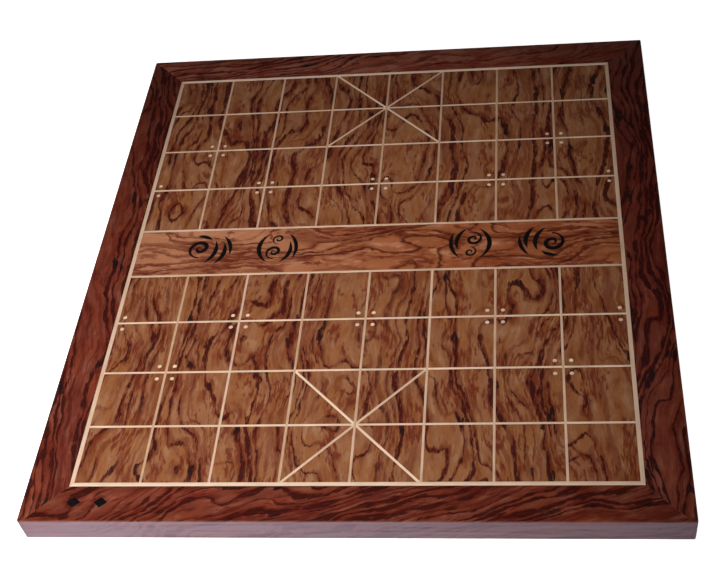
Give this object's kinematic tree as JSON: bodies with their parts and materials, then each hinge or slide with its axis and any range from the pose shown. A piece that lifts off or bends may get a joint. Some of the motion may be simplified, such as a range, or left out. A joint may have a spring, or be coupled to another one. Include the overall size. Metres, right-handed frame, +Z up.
{
  "type": "xiangqi board",
  "caption": "Flat square-edged wooden board for xiangqi: a mitred rosewood frame round figured panels with inlaid pale lines, points and a river band.",
  "frame": {"origin": "centre of the board's underside", "axes": "+Z up out of the playing surface, +Y away from the player at the near side (the long way), +X to that player's right"},
  "size_m": [0.4388, 0.4844, 0.0213],
  "materials": {
    "frame_rosewood": "dark red-brown rosewood, long grain along each rail, semi-gloss lacquer",
    "field_rosewood": "mid-brown figured rosewood, grain away from the player, satin lacquer",
    "river_rosewood": "lighter orange-brown rosewood, grain across the board, satin lacquer",
    "boxwood_line": "pale boxwood stringing, sanded flush under lacquer",
    "boxwood_pins": "pale boxwood end grain, sanded flush under lacquer",
    "ebony_inlay": "black ebony, sanded flush under lacquer",
    "core_plywood": "plain birch plywood, hidden",
    "backing_rosewood": "plain straight-grained rosewood, matt oil",
    "beech_biscuit": "compressed beech, hidden"
  },
  "bodies": {
    "root": {"back_border_strip": "boxwood_line", "back_left_biscuit": "beech_biscuit", "back_rail": "frame_rosewood", "back_right_biscuit": "beech_biscuit", "backing_panel": "backing_rosewood", "core_board": "core_plywood", "far_bank_strip": "boxwood_line", "far_cannon_pins": "boxwood_pins", "far_field_panel": "field_rosewood", "far_file_strip_1": "boxwood_line", "far_file_strip_2": "boxwood_line", "far_file_strip_3": "boxwood_line", "far_file_strip_4": "boxwood_line", "far_file_strip_5": "boxwood_line", "far_file_strip_6": "boxwood_line", "far_file_strip_7": "boxwood_line", "far_palace_falling_diagonal": "boxwood_line", "far_palace_rising_diagonal": "boxwood_line", "far_soldier_pins": "boxwood_pins", "front_border_strip": "boxwood_line", "front_left_biscuit": "beech_biscuit", "front_rail": "frame_rosewood", "front_rail_lozenges": "ebony_inlay", "front_right_biscuit": "beech_biscuit", "left_border_strip": "boxwood_line", "left_rail": "frame_rosewood", "near_bank_strip": "boxwood_line", "near_cannon_pins": "boxwood_pins", "near_field_panel": "field_rosewood", "near_file_strip_1": "boxwood_line", "near_file_strip_2": "boxwood_line", "near_file_strip_3": "boxwood_line", "near_file_strip_4": "boxwood_line", "near_file_strip_5": "boxwood_line", "near_file_strip_6": "boxwood_line", "near_file_strip_7": "boxwood_line", "near_palace_falling_diagonal": "boxwood_line", "near_palace_rising_diagonal": "boxwood_line", "near_soldier_pins": "boxwood_pins", "rank_strip_1": "boxwood_line", "rank_strip_2": "boxwood_line", "rank_strip_3": "boxwood_line", "rank_strip_6": "boxwood_line", "rank_strip_7": "boxwood_line", "rank_strip_8": "boxwood_line", "right_border_strip": "boxwood_line", "right_rail": "frame_rosewood", "river_panel": "river_rosewood", "river_scroll_1": "ebony_inlay", "river_scroll_2": "ebony_inlay", "river_scroll_3": "ebony_inlay", "river_scroll_4": "ebony_inlay"}
  },
  "joints": []
}
